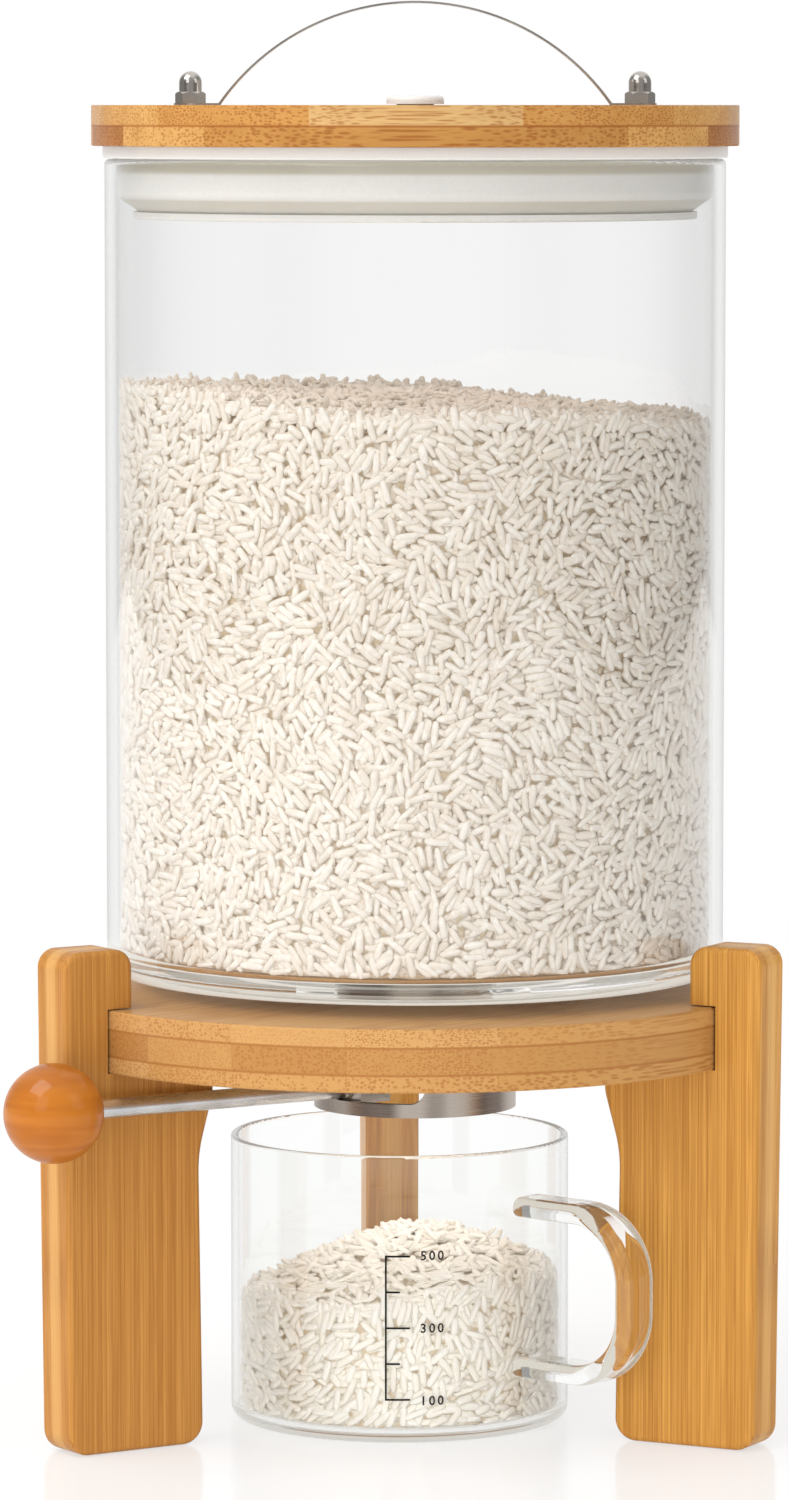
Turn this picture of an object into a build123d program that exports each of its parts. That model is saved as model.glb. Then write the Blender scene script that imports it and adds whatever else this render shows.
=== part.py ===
from build123d import *
from math import asin, atan2, cos, degrees, hypot, pi, radians, sin, sqrt, tan
import os

# Glass rice dispenser: a glass jar with a bamboo lid stands on a three-legged bamboo stand, and a
# swinging lever under the stand opens a sector valve that drops the rice into a measuring cup.
# Millimetres, +Z up. Everything is built about the jar's axis with the floor at zero, and moved at
# the end so that the origin is the middle of the footprint.

# Clearances
seat_gap = 0.3  # between a piece and what it stands on, where the two can part
side_gap = 0.3  # between curved faces that slide or lift past each other
snug_gap = 0.05  # glued, threaded or pressed joints
running_gap = 0.05  # radial play of a turning pivot

same_place = 1e-4  # within which two sizes are taken as one

# Bamboo stand
outlet_off_centre = 4.0  # of the outlet and the jar, to the right of the platform's middle
leg_turn = 2.5  # degrees by which the legs are turned from a symmetrical front view
leg_thickness = 18.5
leg_above_platform = 19.0
leg_past_platform_top = 15.9  # from the platform's rim to the leg's outer edge, at its top
leg_past_platform_foot = 14.1  # the same at its foot
leg_post_width = 24.9  # the part of the leg that rises above the platform
leg_foot_width = 49.0
leg_waist_width = 48.6
leg_throat_width = 54.2  # just under the platform
leg_waist_below = 28.0  # below the platform
leg_throat_below = 9.0
leg_waist_round = 42.0
leg_throat_round = 14.0
leg_top_round = 6.0
leg_foot_round = 7.0
leg_edge_round = 1.8
platform_margin = 15.9  # past the jar's wall, on average
platform_underside = 121.0
top_ply = 6.0
middle_ply = 8.5
bottom_ply = 5.5
platform_edge_round = 0.8
notch_gap = 0.4
dowel_diameter = 6.0
dowel_length = 25.0
dowel_in_leg = 10.0

# Glass jar
jar_diameter = 199.2
jar_height = 261.6
jar_wall = 3.5
jar_floor = 6.5
jar_base_round = 5.5
jar_inner_round = 4.0
jar_rim_round = 1.6
jar_pad_thickness = 4.7
jar_pad_past_gasket = 5.6  # from the outer gasket's rim to the pad's hole
jar_pad_width = 16.0

# Steel outlet and its sector valve
outlet_bore = 44.0
outlet_tube_wall = 3.0
outlet_flange_diameter = 72.0
outlet_flange = 3.0
outlet_funnel = 2.0
outlet_hole_play = 1.2
gasket_thickness = 1.5
gasket_diameter = 68.0
valve_diameter = 65.4
valve_wall = 2.5
valve_height = 19.4
valve_collar = 3.0
port_plate = 3.0
port_count = 4
port_inner_radius = 7.0
port_wall = 1.5  # from the ports' outer arc to the bore's wall
port_half_angle = 20.5
gate_thickness = 3.0
gate_rim_gap = 1.2
slot_height = 9.6
slot_end_play = 1.1  # between the rod and the slot's end, at both of its stops
slot_top_play = 2.85  # over the rod
pivot_diameter = 6.0
pivot_head_diameter = 12.0
pivot_head = 2.8
pivot_thread_diameter = 5.0
pivot_nut_width = 8.0
pivot_nut_height = 4.0
washer_diameter = 14.0
washer_thickness = 0.5

# Lever
lever_leg_gap = 1.65  # between the open lever's rod and the left leg
lever_swing = 47.0  # from open to closed, towards the front
rod_diameter = 6.2
rod_below_gate = 2.1  # of the rod's axis where it leaves the slot
rod_rise = 1.4  # degrees, up towards the ball
rod_in_block = 12.0
block_width = 12.0
block_floor = 1.2
ball_diameter = 31.4
ball_past_leg = 17.6  # from the legs' outer edge to the ball's middle
ball_socket = 12.0
ball_flat = 0.5

# Lid
lid_overhang = 4.2  # past the jar's wall
lid_ply = 6.5
lid_edge_round = 0.5
lid_plug_thickness = 18.5
seal_wall = 12.2  # between the lid's plug and the seal's lip
seal_flange = 3.9
seal_flange_overhang = 0.6  # past the jar's outer wall
seal_flange_round = 0.6
seal_lip_height = 12.0
seal_lip_round = 3.5
seal_neck_step = 7.2  # from the lip in to the neck
seal_taper = 5.0
seal_bead = 2.3
seal_bead_proud = 1.8  # past the neck
seal_bead_round = 0.75
vent_hole_diameter = 12.6
vent_cap_overhang = 2.95  # past the hole
vent_cap = 2.7
vent_cap_round = 1.6
vent_stem = 13.0
strap_width = 14.0
strap_thickness = 0.6
strap_rise = 33.1
strap_span = 126.6
strap_foot_past_nut = 5.4
nut_past_arch = 8.7  # from the arch's end to the nut's middle
nut_width = 8.5
nut_hex = 3.6
nut_dome_diameter = 7.4
nut_height = 10.2
screw_diameter = 5.0
screw_head_diameter = 9.5
screw_head = 2.4

# Measuring cup
cup_diameter = 109.4
cup_off_outlet = 5.0  # of the cup as it stands, to the left of the outlet
cup_under_valve = 9.0
cup_wall = 2.1
cup_floor = 3.0
cup_base_round = 4.0
cup_inner_round = 3.0
cup_rim_round = 0.95
cup_handle_leg_gap = 2.75  # between the handle and the right leg
cup_handle_below_rim = 18.6
cup_handle_bottom = 22.3
cup_handle_projection = 43.2
cup_handle_width = 15.0
cup_handle_thickness = 6.5
cup_handle_bend = 21.0
scale_x = -4.7
scale_line = 0.6
scale_film = 0.1
scale_long_tick = 8.0
scale_short_tick = 4.8
scale_step_ml = 100.0
scale_first_ml = 100.0
scale_mark_count = 5

# Rice
rice_gap = 0.3
rice_mean_level = 185.0  # of the fill's top at the axis, above the jar's underside
rice_fall = 4.0  # degrees, down to the right
heap_wall_below_rim = 49.6
heap_peak_below_rim = 31.6

# Heights, from the floor up
platform_thickness = top_ply + middle_ply + bottom_ply
platform_top = platform_underside + platform_thickness
jar_bottom = platform_top + jar_pad_thickness
jar_top = jar_bottom + jar_height
jar_floor_top = jar_bottom + jar_floor
lid_underside = jar_top + seat_gap + seal_flange
lid_top = lid_underside + 2 * lid_ply
leg_height = platform_top + leg_above_platform
leg_waist_height = platform_underside - leg_waist_below
leg_throat_height = platform_underside - leg_throat_below
valve_bottom = platform_underside - valve_height
port_plate_top = platform_underside - valve_collar
port_plate_bottom = port_plate_top - port_plate
gate_top = port_plate_bottom - seat_gap
gate_bottom = gate_top - gate_thickness
rod_height_at_slot = gate_bottom - rod_below_gate
cup_height = valve_bottom - cup_under_valve
cup_handle_top = cup_height - cup_handle_below_rim
heap_wall_height = cup_height - heap_wall_below_rim
heap_peak_height = cup_height - heap_peak_below_rim
gasket_top = jar_floor_top + gasket_thickness
flange_top = gasket_top + outlet_flange

# Radii from the jar's axis, and the legs' reaches from the platform's middle
jar_radius = jar_diameter / 2
jar_inner_radius = jar_radius - jar_wall
lid_radius = jar_radius + lid_overhang
seal_lip_radius = jar_inner_radius - side_gap
seal_neck_radius = seal_lip_radius - seal_neck_step
seal_bead_radius = seal_neck_radius + seal_bead_proud
lid_plug_radius = seal_lip_radius - seal_wall
platform_radius = jar_radius + platform_margin
leg_reach_top = platform_radius + leg_past_platform_top
leg_reach_foot = platform_radius + leg_past_platform_foot
leg_slope = (leg_reach_top - leg_reach_foot) / leg_height
leg_waist_reach = leg_reach_foot + leg_slope * leg_waist_height
leg_throat_reach = leg_reach_foot + leg_slope * leg_throat_height
leg_throat_inner = leg_throat_reach - leg_throat_width
leg_foot_inner = leg_reach_foot - leg_foot_width
ball_reach = leg_reach_top + ball_past_leg
tube_radius = outlet_bore / 2 + outlet_tube_wall
tube_hole_radius = tube_radius + outlet_hole_play
valve_radius = valve_diameter / 2
valve_inner_radius = valve_radius - valve_wall
port_outer_radius = outlet_bore / 2 - port_wall
gate_radius = valve_inner_radius - gate_rim_gap
cup_radius = cup_diameter / 2
cup_inner_radius = cup_radius - cup_wall
vent_cap_radius = vent_hole_diameter / 2 + vent_cap_overhang

# Angles about the axis, from +X
leg_angles = {
    "leg_right": 330 + leg_turn,
    "leg_left": 210 + leg_turn,
    "leg_back": 90 + leg_turn,
}


def beside_leg(name, leg_inner, side, clearance, start_x):
    """The angle of a bar out of (start_x, 0) that clears the inner corner of a leg, on one side."""
    turn = radians(leg_angles[name])
    corner_x = leg_inner * cos(turn) - side * leg_thickness / 2 * sin(turn) - outlet_off_centre - start_x
    corner_y = leg_inner * sin(turn) + side * leg_thickness / 2 * cos(turn)
    past_corner = asin(clearance / hypot(corner_x, corner_y))
    return degrees(atan2(corner_y, corner_x) + side * past_corner)


lever_open_angle = beside_leg("leg_left", leg_throat_inner, 1, rod_diameter / 2 + lever_leg_gap, 0)
cup_handle_clearance = cup_handle_width / 2 + cup_handle_leg_gap
cup_handle_angle = beside_leg("leg_right", leg_foot_inner, -1, cup_handle_clearance, -cup_off_outlet)


def ring(outer, inner, bottom, height):
    """A flat-ended ring, or a disc where the inner radius is zero."""
    body = Pos(0, 0, bottom) * Cylinder(outer, height, align=(Align.CENTER, Align.CENTER, Align.MIN))
    if inner > 0:
        body -= Pos(0, 0, bottom) * Cylinder(inner, height, align=(Align.CENTER, Align.CENTER, Align.MIN))
    return body


def upright_face(corners):
    """A face in the XZ plane from (x, z, round) corners, sharp where the round is zero."""
    face = make_face(Polyline(*[(x, 0, z) for x, z, _ in corners], close=True).edges())
    for x, z, corner_round in corners:
        if corner_round > 0:
            face = fillet(face.vertices().sort_by_distance((x, 0, z))[0], corner_round)
    return face


def turned(corners):
    """A solid of revolution about the jar's axis, from (radius, height, round) corners."""
    return revolve(upright_face(corners), Axis.Z)


def circle_edges(body, height, radius):
    """The round edges of a body that lie at one height and one radius."""
    found = [
        e
        for e in body.edges().filter_by(GeomType.CIRCLE)
        if abs(e.arc_center.Z - height) < same_place and abs(e.radius - radius) < same_place
    ]
    return ShapeList(found)


def at_angle(angle, shape):
    """A shape built along +X, turned about the jar's axis."""
    return Rot(0, 0, angle) * shape


def in_stand(angle, shape):
    """A shape built along +X, turned about the platform's middle."""
    return Pos(-outlet_off_centre, 0, 0) * at_angle(angle, shape)


def in_cup(shape):
    """A shape built about the cup's own axis, where the cup stands."""
    return Pos(-cup_off_outlet, 0, 0) * shape


# Bamboo stand
dowel_height = platform_underside + bottom_ply + middle_ply / 2
notch_depth_radius = platform_radius + notch_gap
dowel_start = notch_depth_radius + dowel_in_leg - dowel_length


def dowel_bore(clearance):
    """The radial dowel that pins a leg to the platform, grown by a clearance."""
    bar = Cylinder(
        dowel_diameter / 2 + clearance,
        dowel_length + 2 * clearance,
        align=(Align.CENTER, Align.CENTER, Align.MIN),
    )
    return Pos(dowel_start - clearance, 0, dowel_height) * Rot(0, 90, 0) * bar


def leg():
    """A bamboo plank whose notch takes the platform's rim; built along +X."""
    step_height = platform_underside + platform_thickness / 2
    post_inner = leg_reach_top - leg_post_width
    corners = [
        (leg_foot_inner, 0, leg_foot_round),
        (leg_waist_reach - leg_waist_width, leg_waist_height, leg_waist_round),
        (leg_throat_inner, leg_throat_height, leg_throat_round),
        (leg_throat_inner, step_height, 0),
        (post_inner, step_height, 0),
        (post_inner, leg_height, leg_top_round),
        (leg_reach_top, leg_height, leg_top_round),
        (leg_reach_foot, 0, leg_foot_round),
    ]
    plank = extrude(upright_face(corners), amount=leg_thickness / 2, dir=(0, 1, 0), both=True)
    broad_faces = plank.faces().filter_by(Axis.Y)
    plank = fillet(broad_faces.edges(), leg_edge_round)
    notch = Box(
        notch_depth_radius,
        2 * leg_thickness,
        platform_thickness + notch_gap,
        align=(Align.MIN, Align.CENTER, Align.MIN),
    )
    plank -= Pos(0, 0, platform_underside) * notch
    return plank - dowel_bore(snug_gap)


def platform_ply(bottom, thickness):
    """One bamboo layer of the round platform, with the hole for the outlet tube."""
    board = in_stand(0, ring(platform_radius, 0, bottom, thickness))
    return board - ring(tube_hole_radius, 0, bottom, thickness)


def platform_plies():
    top = platform_ply(platform_top - top_ply, top_ply)
    top = fillet(circle_edges(top, platform_top, platform_radius), platform_edge_round)
    middle = platform_ply(platform_underside + bottom_ply, middle_ply)
    for angle in leg_angles.values():
        middle -= in_stand(angle, dowel_bore(snug_gap))
    bottom = platform_ply(platform_underside, bottom_ply)
    bottom = fillet(circle_edges(bottom, platform_underside, platform_radius), platform_edge_round)
    return {
        "platform_top_ply": top,
        "platform_middle_ply": middle,
        "platform_bottom_ply": bottom,
    }


def leg_dowels():
    return Compound([in_stand(a, dowel_bore(0)) for a in leg_angles.values()])


# Glass jar and what it stands on
def glass_jar():
    """The jar: straight wall, thick base with the outlet hole, and a fire-rounded rim."""
    corners = [
        (tube_hole_radius, jar_bottom, 0),
        (jar_radius, jar_bottom, jar_base_round),
        (jar_radius, jar_top, jar_rim_round),
        (jar_inner_radius, jar_top, jar_rim_round),
        (jar_inner_radius, jar_floor_top, jar_inner_round),
        (tube_hole_radius, jar_floor_top, 0),
    ]
    return turned(corners)


def jar_pad():
    """The clear silicone ring between the jar and the platform."""
    inner = gasket_diameter / 2 + jar_pad_past_gasket
    return ring(inner + jar_pad_width, inner, platform_top, jar_pad_thickness)


# Outlet: tube, gaskets, valve body, gate and pivot
def outlet_tube():
    """The flanged tube that clamps the jar's base and carries the valve body on its end."""
    corners = [
        (outlet_bore / 2, port_plate_top, 0),
        (tube_radius, port_plate_top, 0),
        (tube_radius, gasket_top, 0),
        (outlet_flange_diameter / 2, gasket_top, 0),
        (outlet_flange_diameter / 2, flange_top - outlet_funnel, 0),
        (outlet_bore / 2 + outlet_funnel, flange_top, 0),
        (outlet_bore / 2, flange_top - outlet_funnel, 0),
    ]
    return turned(corners)


def base_gasket(bottom, height):
    return ring(gasket_diameter / 2, tube_radius + snug_gap, bottom, height)


def sector_ports(bottom, height):
    """The cutters for the rice ports: equal sectors of a ring, one of them along +X."""
    cutters = []
    for index in range(port_count):
        sector = Cylinder(
            port_outer_radius,
            height,
            arc_size=2 * port_half_angle,
            align=(Align.NONE, Align.NONE, Align.MIN),
        )
        sector -= Cylinder(port_inner_radius, height, align=(Align.CENTER, Align.CENTER, Align.MIN))
        turn = index * 360 / port_count - port_half_angle
        cutters.append(Pos(0, 0, bottom) * Rot(0, 0, turn) * sector)
    return cutters


def rod_height(reach):
    return rod_height_at_slot + (reach - valve_radius) * tan(radians(rod_rise))


def lever_slot():
    """The side slot with round ends that the rod swings in."""
    slot_middle = rod_height(valve_radius) + rod_diameter / 2 + slot_top_play - slot_height / 2
    end_turn = degrees(asin((slot_height - rod_diameter) / 2 / valve_radius))
    first = lever_open_angle + end_turn - degrees(asin(slot_end_play / valve_radius))
    last = lever_open_angle + lever_swing - end_turn + degrees(asin(slot_end_play / valve_radius))
    band = Cylinder(
        valve_radius + valve_wall,
        slot_height,
        arc_size=last - first,
        align=(Align.NONE, Align.NONE, Align.CENTER),
    )
    cutter = Pos(0, 0, slot_middle) * Rot(0, 0, first) * band
    for angle in (first, last):
        round_end = Cylinder(
            slot_height / 2, valve_radius + valve_wall, align=(Align.CENTER, Align.CENTER, Align.MIN)
        )
        cutter += at_angle(angle, Pos(0, 0, slot_middle) * Rot(0, 90, 0) * round_end)
    return cutter - ring(valve_inner_radius - valve_wall, 0, valve_bottom, valve_height)


def valve_body():
    """The steel ring under the platform, one piece with its collar and its port plate."""
    body = ring(valve_radius, valve_inner_radius, valve_bottom, valve_height)
    body += ring(valve_radius, tube_radius + snug_gap, port_plate_top, valve_collar)
    body += ring(valve_radius, pivot_thread_diameter / 2 + snug_gap, port_plate_bottom, port_plate)
    body -= sector_ports(port_plate_bottom, port_plate)
    return body - lever_slot()


def lever_line(radius, start, end):
    """A round bar on the lever's sloping axis, between two reaches; built along +X."""
    slope = radians(rod_rise)
    length = (end - start) / cos(slope)
    bar = Cylinder(radius, length, align=(Align.CENTER, Align.CENTER, Align.MIN))
    return Pos(start, 0, rod_height(start)) * Rot(0, 90 - rod_rise, 0) * bar


block_end = gate_radius
rod_start = block_end - rod_in_block


def gate_disc():
    """The turning disc that opens and shuts the ports, with the block that holds the rod."""
    disc = ring(gate_radius, pivot_diameter / 2 + running_gap, gate_bottom, gate_thickness)
    disc -= sector_ports(gate_bottom, gate_thickness)
    block_bottom = rod_height(rod_start) - rod_diameter / 2 - block_floor
    block_start = rod_start - block_floor
    block = Box(
        block_end - block_start,
        block_width,
        gate_bottom - block_bottom,
        align=(Align.MIN, Align.CENTER, Align.MIN),
    )
    block = Pos(block_start, 0, block_bottom) * block
    block &= ring(gate_radius, 0, block_bottom, gate_bottom - block_bottom)
    disc += at_angle(lever_open_angle, block)
    bore = lever_line(rod_diameter / 2 + snug_gap, rod_start - snug_gap, block_end + block_floor)
    return disc - at_angle(lever_open_angle, bore)


def pivot_screw():
    """The shoulder screw that the gate turns on, threaded up through the port plate."""
    washer_bottom = gate_bottom - washer_thickness
    head_top = washer_bottom
    shoulder = ring(pivot_diameter / 2, 0, head_top, port_plate_bottom - head_top)
    thread_length = port_plate + pivot_nut_height
    thread = ring(pivot_thread_diameter / 2, 0, port_plate_bottom, thread_length)
    head = ring(pivot_head_diameter / 2, 0, head_top - pivot_head, pivot_head)
    return head + shoulder + thread


def pivot_washer():
    bottom = gate_bottom - washer_thickness
    return ring(washer_diameter / 2, pivot_diameter / 2 + running_gap, bottom, washer_thickness)


def hex_prism(width, bottom, height):
    outline = RegularPolygon(width / 2, 6, major_radius=False)
    return Pos(0, 0, bottom) * extrude(outline, amount=height)


def pivot_nut():
    nut = hex_prism(pivot_nut_width, port_plate_top, pivot_nut_height)
    return nut - ring(pivot_thread_diameter / 2 + snug_gap, 0, port_plate_top, pivot_nut_height)


# Lever
def lever_rod():
    ball_entry = ball_reach - ball_diameter / 2
    rod = lever_line(rod_diameter / 2, rod_start, ball_entry + ball_socket)
    return at_angle(lever_open_angle, rod)


def lever_ball():
    """The turned wooden ball, with a small flat where the rod enters."""
    ball_entry = ball_reach - ball_diameter / 2
    ball = Pos(ball_reach, 0, rod_height(ball_reach)) * Sphere(ball_diameter / 2)
    ball -= lever_line(rod_diameter, ball_entry - ball_flat, ball_entry + ball_flat)
    ball -= lever_line(rod_diameter / 2 + snug_gap, ball_entry - ball_flat, ball_entry + ball_socket + snug_gap)
    return at_angle(lever_open_angle, ball)


# Lid
nut_spacing = strap_span + 2 * nut_past_arch
nut_places = [Pos(-nut_spacing / 2, 0, 0), Pos(nut_spacing / 2, 0, 0)]
screw_hole_radius = screw_diameter / 2 + snug_gap


def handle_screw(clearance):
    """A countersunk screw from under the lid, as far up as into its acorn nut."""
    length = 2 * lid_ply + strap_thickness + nut_height - nut_dome_diameter / 2
    shank = ring(screw_diameter / 2 + clearance, 0, lid_underside, length)
    head = Cone(
        screw_head_diameter / 2 + clearance,
        screw_diameter / 2 + clearance,
        screw_head,
        align=(Align.CENTER, Align.CENTER, Align.MIN),
    )
    return shank + Pos(0, 0, lid_underside) * head


def lid_board(bottom, outer_edge):
    """One bamboo layer of the lid, with one eased edge, drilled for the vent and for the handle's screws."""
    board = ring(lid_radius, vent_hole_diameter / 2, bottom, lid_ply)
    board = fillet(circle_edges(board, outer_edge, lid_radius), lid_edge_round)
    for place in nut_places:
        board -= place * handle_screw(snug_gap)
    return board


def lid_plug_board():
    """The round bamboo block under the lid that the seal is stretched over."""
    bottom = lid_underside - lid_plug_thickness
    return ring(lid_plug_radius, vent_hole_diameter / 2, bottom, lid_plug_thickness)


def lid_seal():
    """The silicone seal: a flange on the jar's rim, a lip on its wall and a bead below."""
    inner = lid_plug_radius + snug_gap
    flange_radius = jar_radius + seal_flange_overhang
    flange_bottom = lid_underside - seal_flange
    lip_bottom = flange_bottom - seal_lip_height
    neck_bottom = lip_bottom - seal_taper
    bead_bottom = neck_bottom - seal_bead
    corners = [
        (inner, lid_underside, 0),
        (flange_radius, lid_underside, 0),
        (flange_radius, flange_bottom, seal_flange_round),
        (seal_lip_radius, flange_bottom, 0),
        (seal_lip_radius, lip_bottom, seal_lip_round),
        (seal_neck_radius, neck_bottom, 0),
        (seal_bead_radius, neck_bottom, 0),
        (seal_bead_radius, bead_bottom, seal_bead_round),
        (inner, bead_bottom, 0),
    ]
    return turned(corners)


def vent_plug():
    """The silicone plug in the middle of the lid."""
    cap_bottom = lid_top + seat_gap
    cap = ring(vent_cap_radius, 0, cap_bottom, vent_cap)
    cap = fillet(circle_edges(cap, cap_bottom + vent_cap, vent_cap_radius), vent_cap_round)
    stem_radius = vent_hole_diameter / 2 - side_gap
    return cap + ring(stem_radius, 0, cap_bottom - vent_stem, vent_stem)


def lid_handle():
    """The arched steel strap, with a flat foot under each nut."""
    half_span = strap_span / 2
    outer_radius = (half_span**2 + strap_rise**2) / (2 * strap_rise)
    inner_radius = outer_radius - strap_thickness
    centre = strap_rise - outer_radius
    outer_x = sqrt(outer_radius**2 - (strap_thickness - centre) ** 2)
    inner_x = sqrt(inner_radius**2 - centre**2)
    foot_end = nut_spacing / 2 + strap_foot_past_nut

    def on_lid(x, z):
        return (x, 0, lid_top + z)

    outline = [
        Line(on_lid(-foot_end, 0), on_lid(-foot_end, strap_thickness)),
        Line(on_lid(-foot_end, strap_thickness), on_lid(-outer_x, strap_thickness)),
        ThreePointArc(
            on_lid(-outer_x, strap_thickness), on_lid(0, strap_rise), on_lid(outer_x, strap_thickness)
        ),
        Line(on_lid(outer_x, strap_thickness), on_lid(foot_end, strap_thickness)),
        Line(on_lid(foot_end, strap_thickness), on_lid(foot_end, 0)),
        Line(on_lid(foot_end, 0), on_lid(inner_x, 0)),
        ThreePointArc(on_lid(inner_x, 0), on_lid(0, centre + inner_radius), on_lid(-inner_x, 0)),
        Line(on_lid(-inner_x, 0), on_lid(-foot_end, 0)),
    ]
    strap = extrude(make_face(outline), amount=strap_width / 2, dir=(0, 1, 0), both=True)
    plan = SlotOverall(2 * foot_end, strap_width)
    strap &= Pos(0, 0, lid_top) * extrude(plan, amount=strap_rise)
    for place in nut_places:
        strap -= place * ring(screw_hole_radius, 0, lid_top, strap_thickness)
    return strap


def acorn_nut():
    bottom = lid_top + strap_thickness
    dome_radius = nut_dome_diameter / 2
    nut = hex_prism(nut_width, bottom, nut_hex)
    chamfer_cone = Cone(
        nut_width / 2 + nut_hex,
        nut_width / 2,
        nut_hex,
        align=(Align.CENTER, Align.CENTER, Align.MIN),
    )
    nut &= Pos(0, 0, bottom) * chamfer_cone
    nut += ring(dome_radius, 0, bottom, nut_height - dome_radius)
    nut += Pos(0, 0, bottom + nut_height - dome_radius) * Sphere(dome_radius)
    nut &= ring(nut_width, 0, bottom, nut_height)
    return nut - handle_screw(snug_gap)


# Measuring cup
def cup_glass():
    corners = [
        (0, 0, 0),
        (cup_radius, 0, cup_base_round),
        (cup_radius, cup_height, cup_rim_round),
        (cup_inner_radius, cup_height, cup_rim_round),
        (cup_inner_radius, cup_floor, cup_inner_round),
        (0, cup_floor, 0),
    ]
    return turned(corners)


def cup_handle():
    """The flattened glass rod, bent to an ear and welded to the wall at both ends."""
    start = cup_radius - cup_wall
    reach = cup_radius + cup_handle_projection
    corners = [
        (start, 0, cup_handle_top),
        (reach, 0, cup_handle_top),
        (reach, 0, cup_handle_bottom),
        (start, 0, cup_handle_bottom),
    ]
    path = FilletPolyline(*corners, radius=cup_handle_bend)
    section = Plane(origin=corners[0], z_dir=(1, 0, 0), x_dir=(0, 1, 0))
    profile = section * RectangleRounded(
        cup_handle_width, cup_handle_thickness, cup_handle_thickness / 2 - snug_gap
    )
    ear = sweep(profile, path=path)
    ear -= ring(cup_radius + snug_gap, 0, 0, cup_height)
    return at_angle(cup_handle_angle, ear)


def cup_scale():
    """The printed measuring scale: one upright line with a tick for each step."""
    film_inner = cup_radius + snug_gap
    film = ring(film_inner + scale_film, film_inner, 0, cup_height)
    film &= Pos(0, -cup_radius, 0) * Box(cup_radius, cup_radius, 2 * cup_height)
    depth_per_ml = 1000 / (pi * cup_inner_radius**2)
    marks = [scale_first_ml + i * scale_step_ml for i in range(scale_mark_count)]
    heights = [cup_floor + ml * depth_per_ml for ml in marks]
    upright = Box(
        scale_line,
        cup_diameter,
        heights[-1] - heights[0] + scale_line,
        align=(Align.MIN, Align.MAX, Align.MIN),
    )
    lines = Pos(scale_x, 0, heights[0] - scale_line / 2) * upright
    for index, height in enumerate(heights):
        length = scale_long_tick if index % 2 == 0 else scale_short_tick
        tick = Box(length, cup_diameter, scale_line, align=(Align.MIN, Align.MAX, Align.CENTER))
        lines += Pos(scale_x, 0, height) * tick
    return film & lines


# Rice
def rice_fill():
    """The rice in the jar, lower on the right, where it has settled."""
    fill_radius = jar_inner_radius - rice_gap
    bottom = jar_floor_top + rice_gap
    top = jar_bottom + rice_mean_level
    fill = ring(fill_radius, 0, bottom, jar_height)
    fill = fillet(circle_edges(fill, bottom, fill_radius), jar_inner_round)
    fill -= ring(outlet_flange_diameter / 2 + rice_gap, 0, bottom, flange_top + rice_gap - bottom)
    above = Cylinder(jar_diameter, jar_height, align=(Align.CENTER, Align.CENTER, Align.MIN))
    return fill - Pos(0, 0, top) * Rot(0, rice_fall, 0) * above


def rice_heap():
    """The rice in the cup, heaped to a low dome under the outlet."""
    radius = cup_inner_radius - rice_gap
    bottom = cup_floor + rice_gap
    crown = heap_peak_height - heap_wall_height
    dome_radius = (radius**2 + crown**2) / (2 * crown)
    heap = ring(radius, 0, bottom, heap_peak_height - bottom)
    heap = chamfer(circle_edges(heap, bottom, radius), cup_inner_round)
    return heap & Pos(0, 0, heap_peak_height - dome_radius) * Sphere(dome_radius)


nodes = {
    **{name: in_stand(angle, leg()) for name, angle in leg_angles.items()},
    **platform_plies(),
    "leg_dowels": leg_dowels(),
    "glass_jar": glass_jar(),
    "jar_pad": jar_pad(),
    "outlet_tube": outlet_tube(),
    "inner_gasket": base_gasket(jar_floor_top, gasket_thickness),
    "outer_gasket": base_gasket(platform_top, jar_pad_thickness),
    "valve_body": valve_body(),
    "gate_disc": gate_disc(),
    "pivot_screw": pivot_screw(),
    "pivot_washer": pivot_washer(),
    "pivot_nut": pivot_nut(),
    "lever_rod": lever_rod(),
    "lever_ball": lever_ball(),
    "lid_top_board": lid_board(lid_underside + lid_ply, lid_top),
    "lid_lower_board": lid_board(lid_underside, lid_underside),
    "lid_plug_board": lid_plug_board(),
    "lid_seal": lid_seal(),
    "vent_plug": vent_plug(),
    "lid_handle": lid_handle(),
    "handle_nuts": Compound([place * acorn_nut() for place in nut_places]),
    "handle_screws": Compound([place * handle_screw(0) for place in nut_places]),
    "cup_glass": in_cup(cup_glass()),
    "cup_handle": in_cup(cup_handle()),
    "cup_scale": in_cup(cup_scale()),
    "rice_fill": rice_fill(),
    "rice_heap": in_cup(rice_heap()),
}

boxes = [shape.bounding_box() for shape in nodes.values()]
middle_x = (min(b.min.X for b in boxes) + max(b.max.X for b in boxes)) / 2
middle_y = (min(b.min.Y for b in boxes) + max(b.max.Y for b in boxes)) / 2
to_origin = Pos(-middle_x, -middle_y, 0)

os.makedirs("parts", exist_ok=True)
for name, shape in nodes.items():
    export_step(to_origin * shape, f"parts/{name}.step")
print("jar axis at", round(-middle_x, 3), round(-middle_y, 3))
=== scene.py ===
import math

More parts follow.
